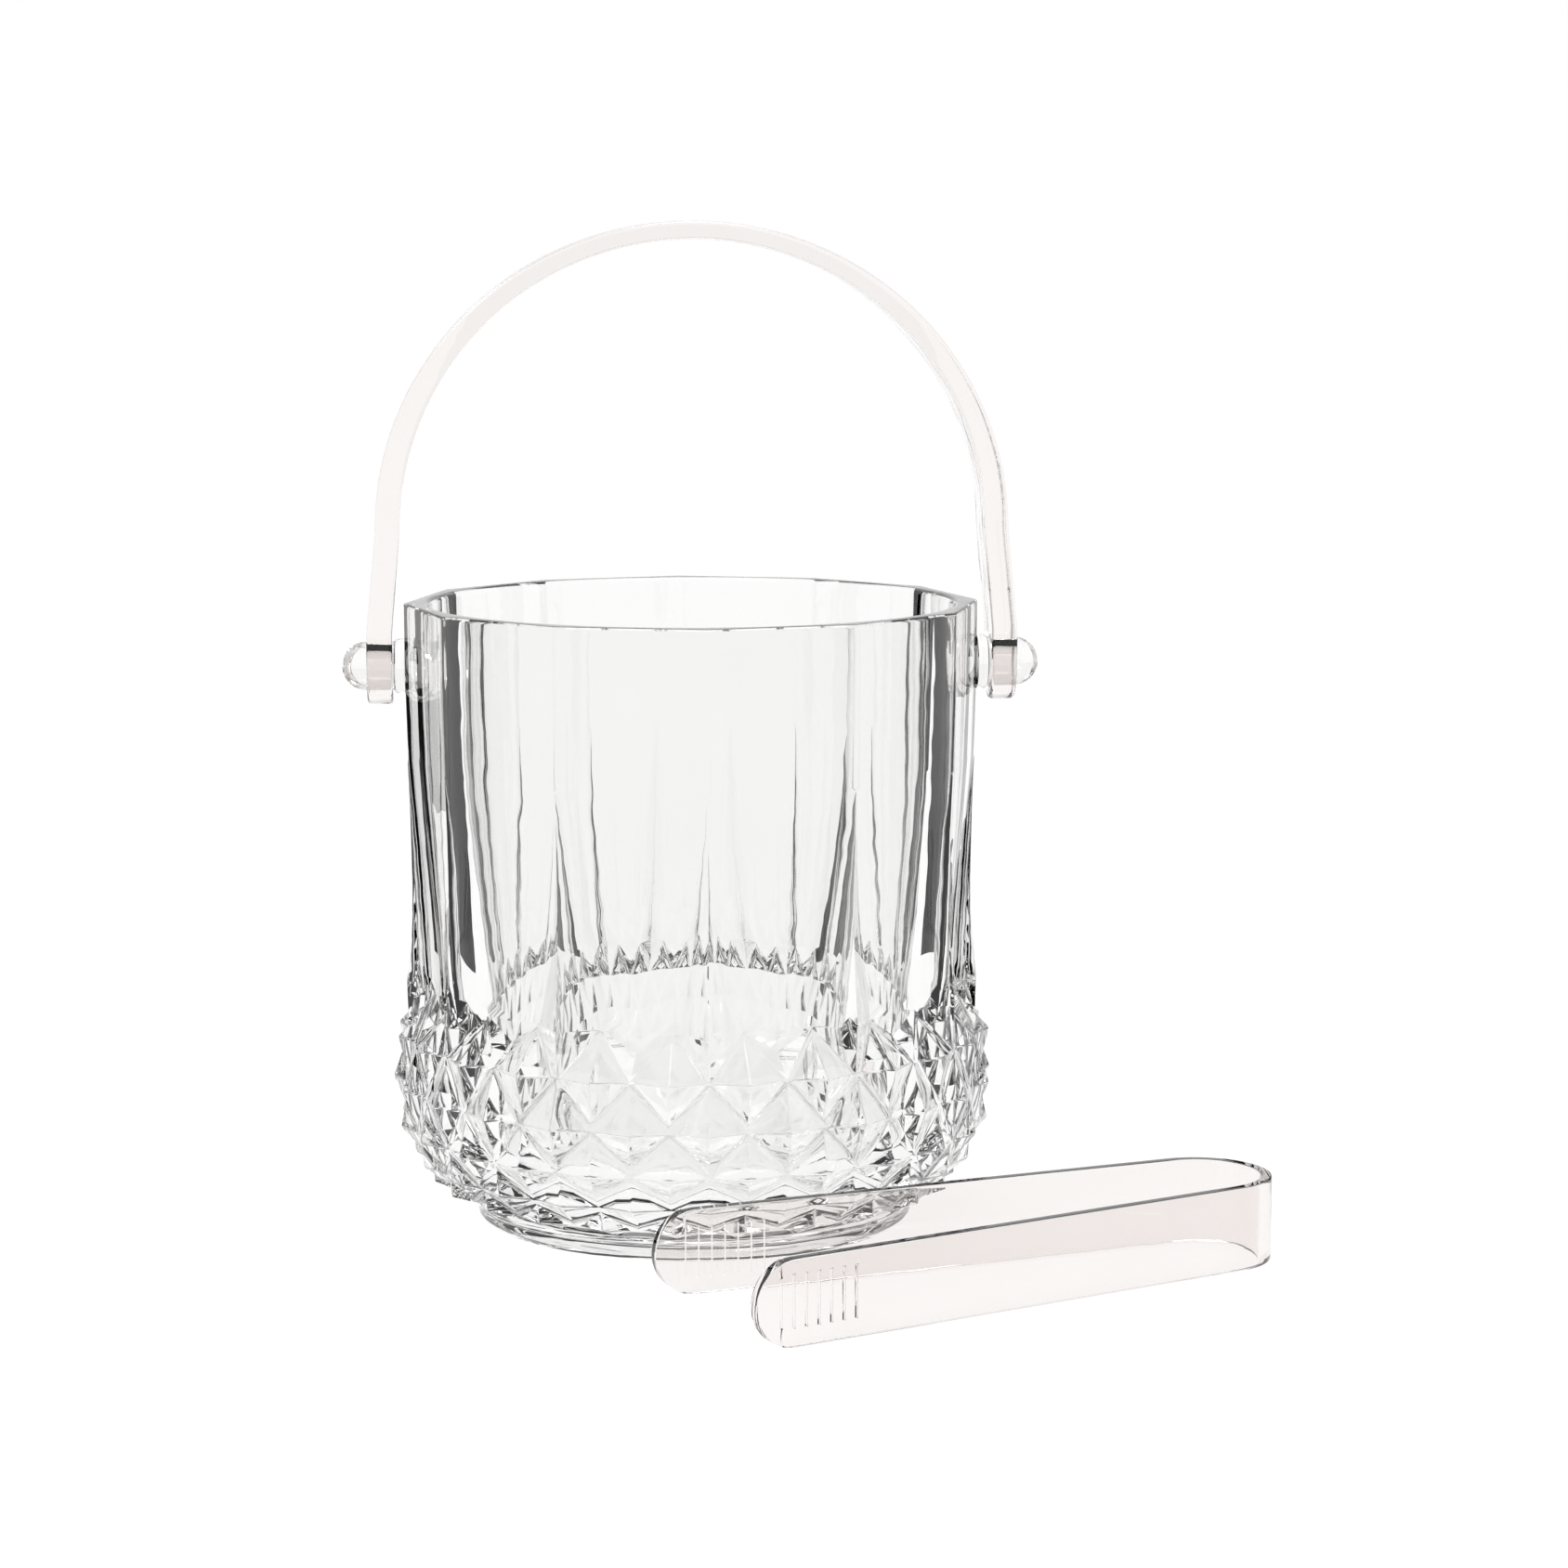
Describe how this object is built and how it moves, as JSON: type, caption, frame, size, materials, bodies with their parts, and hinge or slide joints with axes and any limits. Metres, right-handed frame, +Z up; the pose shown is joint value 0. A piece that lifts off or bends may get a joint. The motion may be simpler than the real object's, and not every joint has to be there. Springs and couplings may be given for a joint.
{
  "type": "ice bucket",
  "caption": "Pressed glass ice bucket with faceted panels and a diamond lattice base, a swinging clear bail handle on side studs, and bent clear ice tongs.",
  "frame": {"origin": "centre of the foot ring, on the plane the bucket stands on", "axes": "+Z up, +X towards the right-hand pivot stud, -Y towards the front, where the tongs lie"},
  "size_m": [0.2025, 0.1908, 0.2249],
  "materials": {
    "crystal_glass": "clear pressed glass, fire polished",
    "stud_glass": "clear, polished",
    "handle_acrylic": "clear acrylic, polished, faint warm tint",
    "tongs_acrylic": "clear acrylic, polished, faint warm tint"
  },
  "bodies": {
    "bucket": {"glass_vessel": "crystal_glass", "left_stud": "stud_glass", "right_stud": "stud_glass"},
    "handle": {"handle": "handle_acrylic"},
    "tongs_back": {"tongs_back_arm": "tongs_acrylic"},
    "tongs_front": {"tongs_front_arm": "tongs_acrylic"}
  },
  "joints": [
    {"name": "handle_swing", "type": "hinge", "parent": "bucket", "child": "handle", "pos_m": [0, 0, 0.1258], "axis": [-1, 0, 0], "range_deg": [-125, 125]},
    {"name": "tongs_lift", "type": "slide", "parent": "bucket", "child": "tongs_back", "axis": [0, 0, 1], "range_m": [0, 0.2]},
    {"name": "tongs_squeeze", "type": "hinge", "parent": "tongs_back", "child": "tongs_front", "pos_m": [0.12022, -0.04738, 0.00925], "axis": [0, 0, -1], "range_deg": [0, 18], "stiffness_Nm_per_rad": 0.7}
  ]
}
